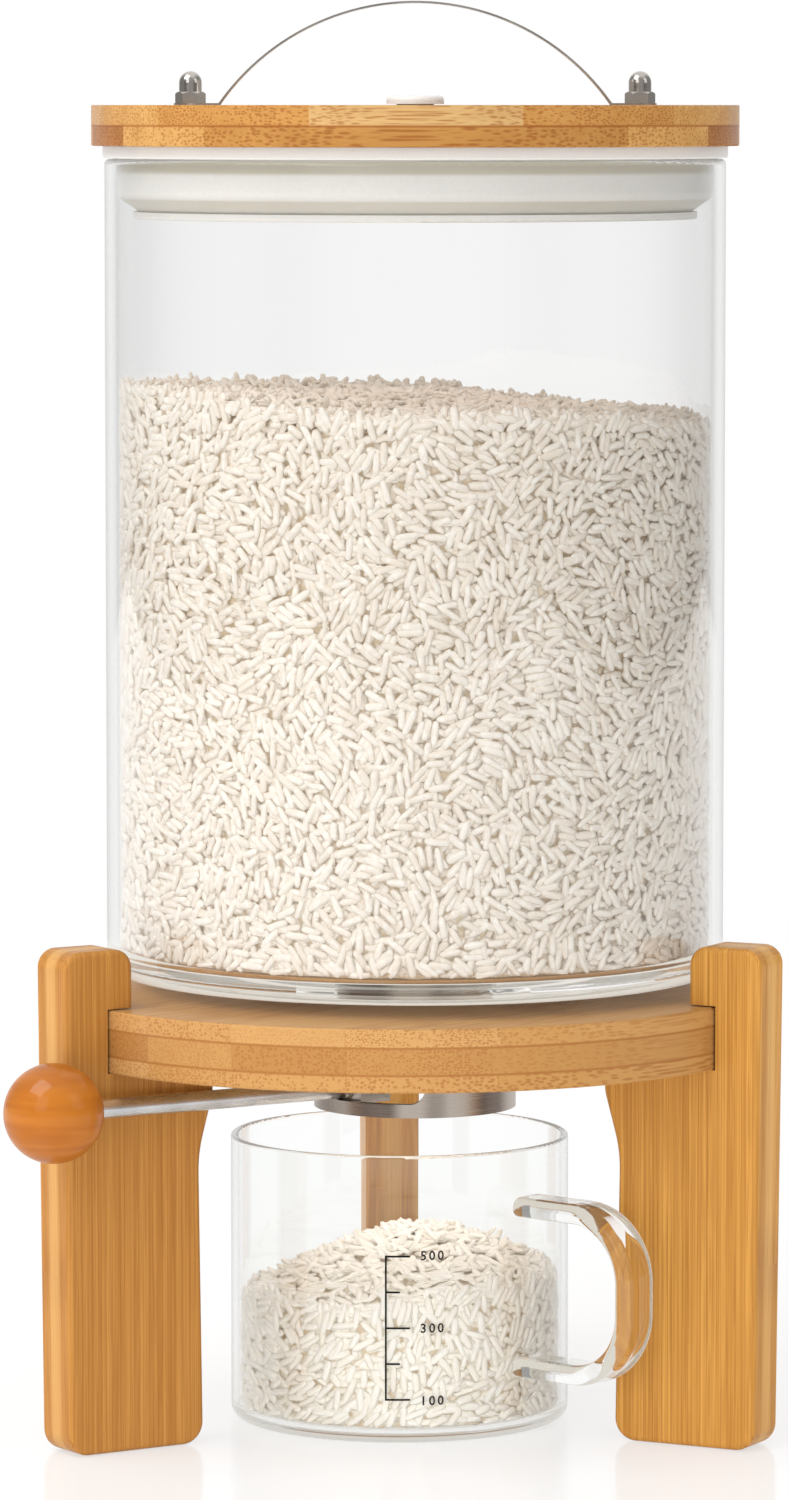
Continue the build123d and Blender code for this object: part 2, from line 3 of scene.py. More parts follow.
import bpy
import numpy as np
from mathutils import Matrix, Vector


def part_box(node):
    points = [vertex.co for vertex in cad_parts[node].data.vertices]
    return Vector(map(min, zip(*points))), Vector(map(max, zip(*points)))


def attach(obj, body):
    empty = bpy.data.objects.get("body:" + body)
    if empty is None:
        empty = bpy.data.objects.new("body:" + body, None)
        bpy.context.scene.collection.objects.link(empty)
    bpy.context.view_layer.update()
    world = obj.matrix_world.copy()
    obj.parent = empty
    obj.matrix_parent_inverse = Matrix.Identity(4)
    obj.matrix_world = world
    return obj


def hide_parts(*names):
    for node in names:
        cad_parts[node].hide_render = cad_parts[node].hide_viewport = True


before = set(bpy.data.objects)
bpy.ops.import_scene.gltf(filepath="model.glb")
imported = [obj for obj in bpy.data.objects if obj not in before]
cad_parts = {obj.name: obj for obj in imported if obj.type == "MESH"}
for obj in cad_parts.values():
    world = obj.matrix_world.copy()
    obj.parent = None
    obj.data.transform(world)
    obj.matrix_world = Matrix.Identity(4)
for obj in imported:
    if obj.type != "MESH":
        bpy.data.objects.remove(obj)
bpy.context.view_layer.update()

# Camera
# A long lens in front of the dispenser, level with the lid's top face and tipped down a little, as
# in a catalogue picture. It stands a few millimetres left of the jar's axis.
jar_low, jar_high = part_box("glass_jar")
axis_x = (jar_low.x + jar_high.x) / 2
axis_y = (jar_low.y + jar_high.y) / 2
eye_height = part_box("lid_top_board")[1].z
eye_left = 0.0068
eye_distance = 2.300
eye_tip = math.radians(5.155)
lens_mm = 171.6
sensor_mm = 36.0


def new_object(name, data):
    made = bpy.data.objects.new(name, data)
    bpy.context.scene.collection.objects.link(made)
    return made


camera_data = bpy.data.cameras.new("camera")
camera_data.lens = lens_mm
camera_data.sensor_width = sensor_mm
camera = new_object("camera", camera_data)
camera.location = (axis_x - eye_left, axis_y - eye_distance, eye_height)
camera.rotation_euler = (math.pi / 2 - eye_tip, 0, 0)
bpy.context.scene.camera = camera
bpy.context.scene.view_settings.view_transform = "Standard"


# Studio
# A room that is plain white where it is seen, and in mirrors darker at the sides and in front. Soft
# boxes light the piece, most from the left, and a soft spot the cup. Faint round lamps under the
# jar, the lid and the platform stand for light that glass pipes in, past straight shadow rays.
def give(tree, node, inputs):
    """Sets a shader node's inputs, or links them where a socket is given."""
    for name, value in inputs.items():
        if isinstance(value, bpy.types.NodeSocket):
            tree.links.new(value, node.inputs[name])
        else:
            node.inputs[name].default_value = value
    return node


def add(tree, kind, inputs=None, **settings):
    """A new shader node with these settings and inputs."""
    made = tree.nodes.new("ShaderNode" + kind)
    for name, value in settings.items():
        setattr(made, name, value)
    return give(tree, made, inputs or {})


def calc(tree, operation, *values):
    return add(tree, "Math", dict(enumerate(values)), operation=operation).outputs[0]


def soft_step(tree, value, start, end, low=0.0, high=1.0):
    """Rises smoothly from low to high while the value goes from start to end."""
    inputs = {"Value": value, "From Min": start, "From Max": end, "To Min": low, "To Max": high}
    return add(tree, "MapRange", inputs, interpolation_type="SMOOTHSTEP").outputs["Result"]


def object_place(tree):
    """Where a point of the surface lies on its object, in metres."""
    return add(tree, "TexCoord").outputs["Object"]


def seen_ray(tree):
    """One for a ray whose end shows: the camera's own, a mirrored one, or one through glass."""
    path = add(tree, "LightPath").outputs
    seen = calc(tree, "MAXIMUM", path["Is Camera Ray"], path["Is Glossy Ray"])
    seen = calc(tree, "MAXIMUM", seen, path["Is Transmission Ray"])
    direct = calc(tree, "LESS_THAN", path["Diffuse Depth"], 0.5)
    return calc(tree, "MULTIPLY", seen, direct)


white = (1, 1, 1, 1)
room_light = 0.92
left_light = 0.22
front_level = 0.42
front_reach = (-0.25, -0.8)
side_fall = 0.70
side_reach = (0.35, 0.85)
world = bpy.data.worlds.new("studio")
world.use_nodes = True
tree = world.node_tree
tree.nodes.clear()
towards = add(tree, "SeparateXYZ", {0: add(tree, "TexCoord").outputs["Generated"]}).outputs
mirrored = calc(tree, "GREATER_THAN", add(tree, "LightPath").outputs["Glossy Depth"], 0.5)
in_front = calc(tree, "MULTIPLY", mirrored, soft_step(tree, towards["Y"], *front_reach))
front_shade = calc(tree, "MULTIPLY", in_front, 1 - front_level)
beside = soft_step(tree, calc(tree, "ABSOLUTE", towards["X"]), *side_reach)
side_level = calc(tree, "MULTIPLY_ADD", calc(tree, "MULTIPLY", beside, mirrored), -side_fall, 1.0)
seen_level = calc(tree, "MULTIPLY", side_level, calc(tree, "SUBTRACT", 1.0, front_shade))
room_level = calc(tree, "MULTIPLY_ADD", towards["X"], -left_light, room_light)
extra = calc(tree, "MULTIPLY", seen_ray(tree), calc(tree, "SUBTRACT", seen_level, room_level))
level = calc(tree, "ADD", room_level, extra)
background = add(tree, "Background", {"Color": white, "Strength": level})
add(tree, "OutputWorld", {"Surface": background.outputs[0]})
bpy.context.scene.world = world


def lamp(name, kind, place, watts, aim_height=None, in_mirrors=False, **settings):
    """A lamp at a place from the jar's axis, which isn't seen itself. It shines at this height on
    the axis, or else straight down."""
    data = bpy.data.lights.new(name, kind)
    data.energy = watts
    for setting, value in settings.items():
        setattr(data, setting, value)
    made = new_object(name, data)
    made.location = (axis_x + place[0], axis_y + place[1], place[2])
    if aim_height is not None:
        away = made.location - Vector((axis_x, axis_y, aim_height))
        made.rotation_euler = away.to_track_quat("Z", "Y").to_euler()
    made.visible_camera = made.visible_transmission = False
    made.visible_glossy = in_mirrors


soft_boxes = (
    ("key_box", (-0.95, -1.65, 1.1), (0.9, 1.2), 4.5, 0.20, True),
    ("right_box", (1.5, -0.9, 1.1), (0.9, 1.2), 3.0, 0.15, True),
    ("top_box", (-0.8, -0.5, 1.6), (1.0, 1.0), 13.0, 0.20, True),
    ("low_box", (-0.05, -0.62, 0.05), (0.9, 0.2), 1.7, 0.04, False),
    ("low_left_box", (-0.55, -0.15, 0.08), (0.4, 0.2), 0.5, 0.10, False),
    ("low_right_box", (0.55, -0.15, 0.08), (0.4, 0.2), 0.2, 0.10, False),
)
for name, place, (width, height), watts, aim_height, in_mirrors in soft_boxes:
    sizes = {"shape": "RECTANGLE", "size": width, "size_y": height}
    lamp(name, "AREA", place, watts, aim_height, in_mirrors, **sizes)

beam = {"spot_size": math.radians(6.8), "spot_blend": 0.6, "shadow_soft_size": 0.05}
lamp("cup_spot", "SPOT", (-0.15, -1.2, 0.22), 13.0, 0.022, **beam)

faint_lamps = (
    ("base_light", 0.165, 0.040, jar_low.z + 0.002),
    ("fill_light", 0.150, 0.042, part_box("lid_plug_board")[0].z - 0.004),
    ("heap_light", 0.110, 0.040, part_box("valve_body")[0].z - 0.001),
)
for name, across, watts, height in faint_lamps:
    lamp(name, "AREA", (0.0, 0.0, height), watts, shape="DISK", size=across)

floor_size = 6.0
floor_glow = 0.35
floor_pale = (0.885, 0.868, 0.852, 1)
floor_reach = (0.28, 0.6)
near_white = 0.72
near_gloss = 0.16
floor_polish = 0.16
floor_gap = 0.0002
floor_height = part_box("leg_left")[0].z - floor_gap
half = floor_size / 2
floor_mesh = bpy.data.meshes.new("floor")
floor_corners = [(-half, -half, 0), (half, -half, 0), (half, half, 0), (-half, half, 0)]
floor_mesh.from_pydata(floor_corners, [], [(0, 1, 2, 3)])
floor = new_object("floor", floor_mesh)
floor.location = (axis_x, axis_y, floor_height)
floor_paint = bpy.data.materials.new("floor_paint")
floor_paint.use_nodes = True
tree = floor_paint.node_tree
tree.nodes.clear()
painted = add(tree, "BsdfDiffuse", {"Color": floor_pale})
glowing = add(tree, "Emission", {"Color": white, "Strength": 1.0})
mirror = add(tree, "BsdfGlossy", {"Color": white, "Roughness": floor_polish})
distance = add(tree, "VectorMath", {0: object_place(tree)}, operation="LENGTH").outputs["Value"]
far = soft_step(tree, distance, *floor_reach, near_white, 1.0)
lifted = calc(tree, "MULTIPLY", far, calc(tree, "MAXIMUM", seen_ray(tree), floor_glow))
matt = add(tree, "MixShader", {0: lifted, 1: painted.outputs[0], 2: glowing.outputs[0]})
gloss = soft_step(tree, distance, *floor_reach, near_gloss, 0.0)
surface = add(tree, "MixShader", {0: gloss, 1: matt.outputs[0], 2: mirror.outputs[0]})
add(tree, "OutputMaterial", {"Surface": surface.outputs[0]})
floor_mesh.materials.append(floor_paint)


# Legs
# Three planks of bamboo strips pressed side by side and glued on their narrow faces, sawn to shape,
# rounded along every edge and lacquered. The rim of the platform sits in a notch in each.
def mixed(tree, factor, first, second, blend="MIX"):
    """A colour mix; the factor and both colours may be sockets."""
    made = add(tree, "Mix", {0: factor, 6: first, 7: second}, data_type="RGBA", blend_type=blend)
    return made.outputs[2]


def noise(tree, place, scale=1.0, detail=2.0, **inputs):
    inputs = {"Vector": place, "Scale": scale, "Detail": detail, **inputs}
    return add(tree, "TexNoise", inputs).outputs[0]


def line_noise(tree, value):
    """Plain noise along one value."""
    inputs = {"W": value, "Scale": 1.0, "Detail": 0.0}
    return add(tree, "TexNoise", inputs, noise_dimensions="1D").outputs[0]


def bumped(tree, height, strength, distance, invert=False):
    inputs = {"Height": height, "Strength": strength, "Distance": distance}
    return add(tree, "Bump", inputs, invert=invert).outputs[0]


def new_material(name):
    """A material, its node tree and its Principled surface."""
    material = bpy.data.materials.new(name)
    material.use_nodes = True
    return material, material.node_tree, material.node_tree.nodes["Principled BSDF"]


def new_group(name, inputs):
    """A shader group that puts out a colour, a roughness and a height: its inner tree, the sockets
    of its inputs, and its output node."""
    group = bpy.data.node_groups.new(name, "ShaderNodeTree")
    for label, value in inputs.items():
        kind = "NodeSocketColor" if isinstance(value, tuple) else "NodeSocketFloat"
        group.interface.new_socket(label, in_out="INPUT", socket_type=kind).default_value = value
    for label, kind in (("Color", "Color"), ("Roughness", "Float"), ("Height", "Float")):
        group.interface.new_socket(label, in_out="OUTPUT", socket_type="NodeSocket" + kind)
    return group, group.nodes.new("NodeGroupInput").outputs, group.nodes.new("NodeGroupOutput")


def bamboo_group():
    """Bamboo as a solid pattern: strips with glue lines, fibres along them, and dark bundles."""
    sockets = {
        "Along": 0.0,
        "Across": 0.0,
        "Depth": 0.0,
        "Strip Width": 0.0026,
        "Strip Depth": 0.02,
        "Wander": 0.5,
        "Bundle Spacing": 0.001,
        "Bundle Strength": 0.5,
        "Fibre Contrast": 0.3,
        "Glue Strength": 0.4,
        "Strip Contrast": 0.7,
        "Broad Contrast": 0.35,
        "Seed": 0.0,
        "Pale": (0.8, 0.5, 0.2, 1.0),
        "Deep": (0.6, 0.3, 0.1, 1.0),
        "Bundle Colour": (0.3, 0.12, 0.03, 1.0),
    }
    drift_pace = 0.6
    glue_reach, glue_full = 0.00028, 0.00004
    fibre_scales = (14.0, 1900.0)
    broad_scales = (9.0, 130.0)
    bundle_stretch = 0.03
    tree, given, result = new_group("bamboo", sockets)

    ratio = calc(tree, "DIVIDE", given["Across"], given["Strip Width"])
    drift = line_noise(tree, calc(tree, "MULTIPLY_ADD", ratio, drift_pace, given["Seed"]))
    strips = calc(tree, "ADD", ratio, given["Seed"])
    strips = calc(tree, "MULTIPLY_ADD", drift, given["Wander"], strips)
    number = calc(tree, "FLOOR", strips)
    inside = calc(tree, "FRACT", strips)
    layer = calc(tree, "FLOOR", calc(tree, "DIVIDE", given["Depth"], given["Strip Depth"]))
    key = add(tree, "CombineXYZ", {0: number, 1: layer, 2: given["Seed"]}).outputs[0]
    chance = add(tree, "TexWhiteNoise", {"Vector": key}, noise_dimensions="3D").outputs
    chances = add(tree, "SeparateColor", {0: chance["Color"]}).outputs
    edge = calc(tree, "MINIMUM", inside, calc(tree, "SUBTRACT", 1.0, inside))
    edge = calc(tree, "MULTIPLY", edge, given["Strip Width"])
    glue = soft_step(tree, edge, glue_reach, glue_full)

    slid = calc(tree, "MULTIPLY_ADD", chances["Red"], 0.7, given["Along"])

    def scaled(along, across):
        """The place in the wood, with its own scale along the strips and across them."""
        parts = {
            0: calc(tree, "MULTIPLY", slid, along),
            1: calc(tree, "MULTIPLY", given["Across"], across),
            2: calc(tree, "MULTIPLY", given["Depth"], across),
        }
        return add(tree, "CombineXYZ", parts).outputs[0]

    fibres = noise(tree, scaled(*fibre_scales), detail=3.0, Roughness=0.6)
    fibres = soft_step(tree, fibres, 0.3, 0.7)
    drifts = noise(tree, scaled(*broad_scales))

    spread = calc(tree, "MULTIPLY_ADD", chances["Green"], 0.5, 0.75)
    spacing = calc(tree, "MULTIPLY", given["Bundle Spacing"], spread)
    parts = {
        0: calc(tree, "DIVIDE", calc(tree, "MULTIPLY", slid, bundle_stretch), spacing),
        1: calc(tree, "DIVIDE", given["Across"], spacing),
        2: calc(tree, "DIVIDE", given["Depth"], spacing),
    }
    cells = {"Vector": add(tree, "CombineXYZ", parts).outputs[0], "Scale": 1.0, "Randomness": 0.75}
    cell = add(tree, "TexVoronoi", cells, feature="F1").outputs["Distance"]
    dense = soft_step(tree, chances["Blue"], -0.4, 0.7)
    bundles = calc(tree, "MULTIPLY", soft_step(tree, cell, 0.56, 0.22), dense)

    strip_tone = calc(tree, "SUBTRACT", chance["Value"], 0.5)
    strip_tone = calc(tree, "MULTIPLY", strip_tone, given["Strip Contrast"])
    broad_tone = calc(tree, "SUBTRACT", drifts, 0.5)
    broad_tone = calc(tree, "MULTIPLY", broad_tone, given["Broad Contrast"])
    tone = calc(tree, "ADD", calc(tree, "ADD", strip_tone, broad_tone), 0.5)
    colour = mixed(tree, tone, given["Deep"], given["Pale"])
    dull = calc(tree, "MULTIPLY", calc(tree, "SUBTRACT", 1.0, fibres), given["Fibre Contrast"])
    dotted = calc(tree, "MULTIPLY", bundles, given["Bundle Strength"])
    glued = calc(tree, "MULTIPLY", glue, given["Glue Strength"])
    for mask in (dull, dotted, glued):
        colour = mixed(tree, mask, colour, given["Bundle Colour"])
    relief = calc(tree, "MULTIPLY_ADD", bundles, -0.6, calc(tree, "MULTIPLY", fibres, 0.4))
    finish = {
        "Color": colour,
        "Roughness": calc(tree, "MULTIPLY_ADD", fibres, -0.12, 0.46),
        "Height": calc(tree, "SUBTRACT", relief, glue),
    }
    give(tree, result, finish)
    return tree


bamboo = bamboo_group()
# A pale stripe in the middle of each leg's thickness, on its narrow faces, is a painted highlight
# for the light that its rounded, lacquered edges catch.
painted_highlight_colour = (0.82, 0.52, 0.19, 1)
painted_highlight_share = 0.3
painted_highlight_blur = 0.0014
seam_reach, seam_full = 0.00055, 0.00015
seam_share = 0.85


def bamboo_finish(name, centre, turn, standing, values, seams=(), highlight_half_width=0.0):
    """Lacquered bamboo. Its fibres run up where it stands, and else along the turned X axis. Dark
    glue shows in the seams, which are heights. A painted highlight, a pale stripe of this half
    width, runs down the middle."""
    material, tree, surface = new_material(name)
    rotation = {"Vector": object_place(tree), "Center": centre, "Angle": -turn}
    turned = add(tree, "VectorRotate", rotation, rotation_type="Z_AXIS").outputs[0]
    local = add(tree, "VectorMath", {0: turned, 1: centre}, operation="SUBTRACT").outputs[0]
    parts = add(tree, "SeparateXYZ", {0: local}).outputs
    order = ("Z", "X", "Y") if standing else ("X", "Y", "Z")
    places = {label: parts[axis] for label, axis in zip(("Along", "Across", "Depth"), order)}
    pattern = add(tree, "Group", {**places, **values}, node_tree=bamboo).outputs
    colour = pattern["Color"]
    if highlight_half_width:
        off = calc(tree, "ABSOLUTE", parts["Y"])
        middle = soft_step(tree, off, highlight_half_width + painted_highlight_blur, highlight_half_width - painted_highlight_blur, 0.0, painted_highlight_share)
        colour = mixed(tree, middle, colour, painted_highlight_colour)
    for seam in seams:
        off = calc(tree, "ABSOLUTE", calc(tree, "SUBTRACT", parts["Z"], seam))
        line = soft_step(tree, off, seam_reach, seam_full, 0.0, seam_share)
        colour = mixed(tree, line, colour, values["Bundle Colour"])
    lacquered = {
        "Base Color": colour,
        "Roughness": pattern["Roughness"],
        "Specular IOR Level": 0.12,
        "Coat Weight": 0.08,
        "Coat Roughness": 0.2,
        "Normal": bumped(tree, pattern["Height"], 0.25, 0.0001),
    }
    give(tree, surface, lacquered)
    return material


def finish_node(node, material):
    """Gives a CAD node its material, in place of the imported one."""
    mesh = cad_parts[node].data
    mesh.materials.clear()
    mesh.materials.append(material)


board_low, board_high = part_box("platform_middle_ply")
board_middle = ((board_low.x + board_high.x) / 2, (board_low.y + board_high.y) / 2, 0)
leg_turn = 2.5
leg_painted_highlight = 0.0030
leg_strips = {
    "Strip Width": 0.0017,
    "Strip Depth": 0.0072,
    "Wander": 0.8,
    "Bundle Spacing": 0.0011,
    "Bundle Strength": 0.28,
    "Fibre Contrast": 0.44,
    "Glue Strength": 0.30,
    "Broad Contrast": 0.30,
    "Bundle Colour": (0.27, 0.095, 0.014, 1),
}
# The back leg's shades are paler: painted light, for the light it lacks behind the cup and under the
# platform.
leg_shades = {
    "leg_right": (330, 3.0, 0.42, (0.70, 0.362, 0.080, 1), (0.46, 0.203, 0.034, 1)),
    "leg_left": (210, 11.0, 0.42, (0.59, 0.295, 0.072, 1), (0.38, 0.152, 0.027, 1)),
    "leg_back": (90, 21.0, 0.7, (0.95, 0.57, 0.19, 1), (0.50, 0.20, 0.030, 1)),
}
for leg, (bearing, seed, contrast, pale, deep) in leg_shades.items():
    strips = {**leg_strips, "Strip Contrast": contrast, "Seed": seed, "Pale": pale, "Deep": deep}
    turn = math.radians(bearing + leg_turn)
    leg_bamboo = bamboo_finish(leg + "_bamboo", board_middle, turn, True, strips, highlight_half_width=leg_painted_highlight)
    finish_node(leg, leg_bamboo)

# Platform
# A round board of three bamboo layers, turned on its rim. Its strips run from front left to back
# right, so the rim shows end grain at the left and in front, and long grain on the right.
platform_bearing = math.radians(228)
ply_strips = {
    "Strip Width": 0.033,
    "Strip Depth": 1.0,
    "Wander": 0.2,
    "Bundle Spacing": 0.00095,
    "Bundle Strength": 0.76,
    "Fibre Contrast": 0.18,
    "Glue Strength": 0.2,
    "Strip Contrast": 0.8,
    "Broad Contrast": 0.5,
    "Bundle Colour": (0.32, 0.125, 0.030, 1),
}
ply_shades = {
    "platform_top_ply": (4.0, (0.535, 0.300, 0.110, 1), (0.47, 0.246, 0.078, 1)),
    "platform_middle_ply": (9.0, (0.47, 0.250, 0.080, 1), (0.385, 0.180, 0.049, 1)),
    "platform_bottom_ply": (15.0, (0.52, 0.292, 0.104, 1), (0.46, 0.240, 0.074, 1)),
}
ply_seams = (board_low.z, board_high.z)
for ply, (seed, pale, deep) in ply_shades.items():
    strips = {**ply_strips, "Seed": seed, "Pale": pale, "Deep": deep}
    ply_bamboo = bamboo_finish(
        ply + "_bamboo", board_middle, platform_bearing, False, strips, ply_seams
    )
    finish_node(ply, ply_bamboo)

# Dowels
# Three plain birch dowels. Each is glued into a leg and into the platform's middle layer, and holds
# the leg to the rim.
birch = {"Strip Width": 0.05, "Pale": (0.70, 0.52, 0.32, 1), "Deep": (0.62, 0.44, 0.25, 1)}
finish_node("leg_dowels", bamboo_finish("dowel_birch", board_middle, 0.0, False, birch))

# Jar
# Blown borosilicate glass, clear, with a thick base and a fire-polished rim. It lets the lamps
# through to the rice, as thin glass does. A painted glow stands in for light caught inside it: pale
# in the thick base, and thin grey lines of painted shade along the edges, where it is seen at a
# grazing angle.
glass_ior = 1.47
painted_base_glow = (0.80, 0.765, 0.70, 1)
painted_edge_glow = (0.40, 0.39, 0.375, 1)
glass_shadow = (0.98, 0.98, 0.98, 1)
painted_glow_share = 0.85
grazing_reach = (0.80, 0.97)
painted_edge_share = 0.35
base_blur = 0.004


def let_through(tree, path, surface, colour):
    """Lets the lamps shine on through a surface, weakened to this colour."""
    shadow = add(tree, "BsdfTransparent", {"Color": colour})
    choice = {0: path["Is Shadow Ray"], 1: surface.outputs[0], 2: shadow.outputs[0]}
    either = add(tree, "MixShader", choice)
    give(tree, tree.nodes["Material Output"], {"Surface": either.outputs[0]})


def clear_glass(name, tint, base_top, edge=painted_edge_glow):
    """Clear glass with a painted glow, for light caught inside it and at grazing edges: pale up to
    the height base_top, and above it in its edge's colour.
    """
    material, tree, glass = new_material(name)
    clear = {"Base Color": tint, "Transmission Weight": 1.0, "Roughness": 0.0, "IOR": glass_ior}
    give(tree, glass, clear)
    path = add(tree, "LightPath").outputs
    inside = calc(tree, "GREATER_THAN", path["Glossy Depth"], 1.5)
    facing = add(tree, "LayerWeight", {"Blend": 0.5}).outputs["Facing"]
    grazing = soft_step(tree, facing, *grazing_reach, 0.0, painted_edge_share)
    caught = calc(tree, "MAXIMUM", calc(tree, "MULTIPLY", inside, painted_glow_share), grazing)
    height = add(tree, "SeparateXYZ", {0: object_place(tree)}).outputs["Z"]
    above = soft_step(tree, height, base_top, base_top + base_blur)
    glow = add(tree, "Emission", {"Color": mixed(tree, above, painted_base_glow, edge)})
    lit = add(tree, "MixShader", {0: caught, 1: glass.outputs[0], 2: glow.outputs[0]})
    let_through(tree, path, lit, glass_shadow)
    return material


jar_tint = (0.994, 0.996, 0.993, 1)
jar_glow = 0.008
finish_node("glass_jar", clear_glass("jar_glass", jar_tint, jar_low.z + jar_glow))


# Silicone
# Moulded silicone: the clear ring under the jar, the gaskets at the outlet, the ivory seal that is
# stretched over the lid's plug, and the vent plug. The seal has painted shade: olive bands in the
# shade of its two lips, and grey where it lies in the shade of the lid's board.
lower_blur, upper_blur = 0.0008, 0.0004
speckle_grey = (0.5, 0.47, 0.4, 1)
speckle_share = 0.08


def silicone(name, colour, roughness, through, painted_bands=()):
    """Silicone with a fine grain. A painted band of shade has its lower and upper end, its strength
    and colour.
    """
    material, tree, surface = new_material(name)
    grain = noise(tree, object_place(tree), 900.0)
    speckle = soft_step(tree, grain, 0.35, 0.65, 0.0, speckle_share)
    shade = mixed(tree, speckle, colour, speckle_grey)
    height = add(tree, "SeparateXYZ", {0: object_place(tree)}).outputs["Z"]
    for low, high, strength, band_colour in painted_bands:
        above = soft_step(tree, height, low - lower_blur, low + lower_blur, 0.0, strength)
        below = soft_step(tree, height, high + upper_blur, high - upper_blur)
        shade = mixed(tree, calc(tree, "MULTIPLY", above, below), shade, band_colour)
    moulded = {
        "Base Color": shade,
        "Roughness": roughness,
        "Subsurface Weight": through,
        "Subsurface Radius": (0.004, 0.0035, 0.003),
        "Subsurface Scale": 1.0,
        "Normal": bumped(tree, grain, 0.1, 0.00005),
    }
    give(tree, surface, moulded)
    return material


clear_silicone = silicone("clear_silicone", (0.78, 0.77, 0.74, 1), 0.3, 0.3)
for node in ("jar_pad", "inner_gasket", "outer_gasket"):
    finish_node(node, clear_silicone)
olive, grey = (0.46, 0.40, 0.26, 1), (0.52, 0.50, 0.48, 1)
seal_painted_shade = (
    (jar_high.z - 0.0042, jar_high.z, 0.65, olive),
    (jar_high.z - 0.0160, jar_high.z - 0.0125, 0.40, olive),
    (jar_high.z, jar_high.z + 0.01, 0.50, grey),
)
finish_node("lid_seal", silicone("seal_silicone", (0.82, 0.80, 0.765, 1), 0.35, 0.25, seal_painted_shade))
finish_node("vent_plug", silicone("vent_silicone", (0.80, 0.78, 0.76, 1), 0.4, 0.25))


# Outlet
# Turned stainless steel: the flanged tube, the ring under the platform with its ports, and the gate
# that turns in it. The lathe leaves fine lines round the axis.
def brushed_group():
    """Fine lines across one coordinate, as an abrasive leaves them, and light and dark bands along
    another, which are painted reflections.
    """
    sockets = {
        "Across": 0.0,
        "Along": 0.0,
        "Line": 0.0002,
        "Gloss": 0.0,
        "Light": (0.7, 0.7, 0.7, 1.0),
        "Dark": (0.5, 0.5, 0.5, 1.0),
    }
    line_scale = 60.0
    painted_band_scale = 75.0
    tree, given, result = new_group("brushed", sockets)
    across = calc(tree, "DIVIDE", given["Across"], given["Line"])
    along = calc(tree, "MULTIPLY", given["Along"], line_scale)
    place = add(tree, "CombineXYZ", {0: across, 1: along}).outputs[0]
    lines = soft_step(tree, noise(tree, place), 0.3, 0.7)
    bands = line_noise(tree, calc(tree, "MULTIPLY", given["Along"], painted_band_scale))
    bands = soft_step(tree, bands, 0.35, 0.65, 0.0, 0.7)
    shade = calc(tree, "MULTIPLY_ADD", lines, 0.16, bands)
    matt = calc(tree, "MULTIPLY_ADD", lines, 0.1, 0.24)
    finish = {
        "Color": mixed(tree, shade, given["Dark"], given["Light"]),
        "Roughness": calc(tree, "SUBTRACT", matt, given["Gloss"]),
        "Height": lines,
    }
    give(tree, result, finish)
    return tree


brushed = brushed_group()


def steel(name, across, line, light, dark, anisotropic=0.0, gloss=0.0):
    """Brushed steel, its lines this far apart along one of the object's own axes."""
    material, tree, surface = new_material(name)
    parts = add(tree, "SeparateXYZ", {0: object_place(tree)}).outputs
    places = {"Across": parts[across], "Along": parts["X"]}
    values = {"Line": line, "Gloss": gloss, "Light": light, "Dark": dark}
    pattern = add(tree, "Group", {**places, **values}, node_tree=brushed).outputs
    metal = {
        "Base Color": pattern["Color"],
        "Metallic": 1.0,
        "Roughness": pattern["Roughness"],
        "Anisotropic": anisotropic,
        "Normal": bumped(tree, pattern["Height"], 0.08, 0.00003),
    }
    give(tree, surface, metal)
    return material


# The turned steel is warm and light to very dark in bands along X: painted reflections of the wood
# and the room.
turned_reflection_light, turned_reflection_dark = (0.62, 0.55, 0.48, 1), (0.16, 0.125, 0.105, 1)
turned_steel = steel("turned_steel", "Z", 0.0003, turned_reflection_light, turned_reflection_dark, 0.6)
for node in ("outlet_tube", "valve_body"):
    finish_node(node, turned_steel)
# The gate's steel is paler: painted light, for the shade it lies in inside the ring.
gate_steel = steel("gate_steel", "Z", 0.0003, (0.88, 0.84, 0.78, 1), (0.66, 0.62, 0.56, 1))
finish_node("gate_disc", gate_steel)

# Pivot
# A bright shoulder screw that the gate turns on, with its nut, and a white nylon washer under the
# gate.
bright, bright_dark = (0.60, 0.56, 0.52, 1), (0.54, 0.50, 0.46, 1)
polished_steel = steel("polished_steel", "Z", 0.002, bright, bright_dark, gloss=0.15)
for node in ("pivot_screw", "pivot_nut"):
    finish_node(node, polished_steel)
finish_node("pivot_washer", silicone("nylon", (0.82, 0.81, 0.77, 1), 0.45, 0.1))

# Lever
# A drawn steel rod that screws into the gate's block, with a turned wooden ball on its end, which
# is varnished orange and glossy.
rod_steel = steel("drawn_steel", "Z", 0.0004, (0.76, 0.77, 0.79, 1), (0.62, 0.63, 0.65, 1), 0.4)
finish_node("lever_rod", rod_steel)
ball_deep, ball_pale = (0.36, 0.104, 0.008, 1), (0.43, 0.138, 0.011, 1)
ball_fleck = (0.36, 0.10, 0.012, 1)
ball_grain_scale = (22.0, 30.0, 300.0)
ball_fleck_scale = (120.0, 120.0, 2200.0)


def varnished_wood():
    material, tree, surface = new_material("ball_varnish")
    place = object_place(tree)
    along = add(tree, "VectorMath", {0: place, 1: ball_grain_scale}, operation="MULTIPLY").outputs[0]
    grain = noise(tree, along, detail=3.0, Distortion=0.3)
    short = add(tree, "VectorMath", {0: place, 1: ball_fleck_scale}, operation="MULTIPLY").outputs[0]
    flecks = soft_step(tree, noise(tree, short, detail=1.0), 0.58, 0.7, 0.0, 0.09)
    colour = mixed(tree, soft_step(tree, grain, 0.3, 0.7), ball_deep, ball_pale)
    varnished = {
        "Base Color": mixed(tree, flecks, colour, ball_fleck),
        "Roughness": soft_step(tree, grain, 0.2, 0.8, 0.5, 0.42),
        "Specular IOR Level": 0.1,
        "Coat Weight": 0.45,
        "Coat Roughness": 0.08,
        "Normal": bumped(tree, grain, 0.03, 0.0002),
    }
    give(tree, surface, varnished)
    return material


finish_node("lever_ball", varnished_wood())


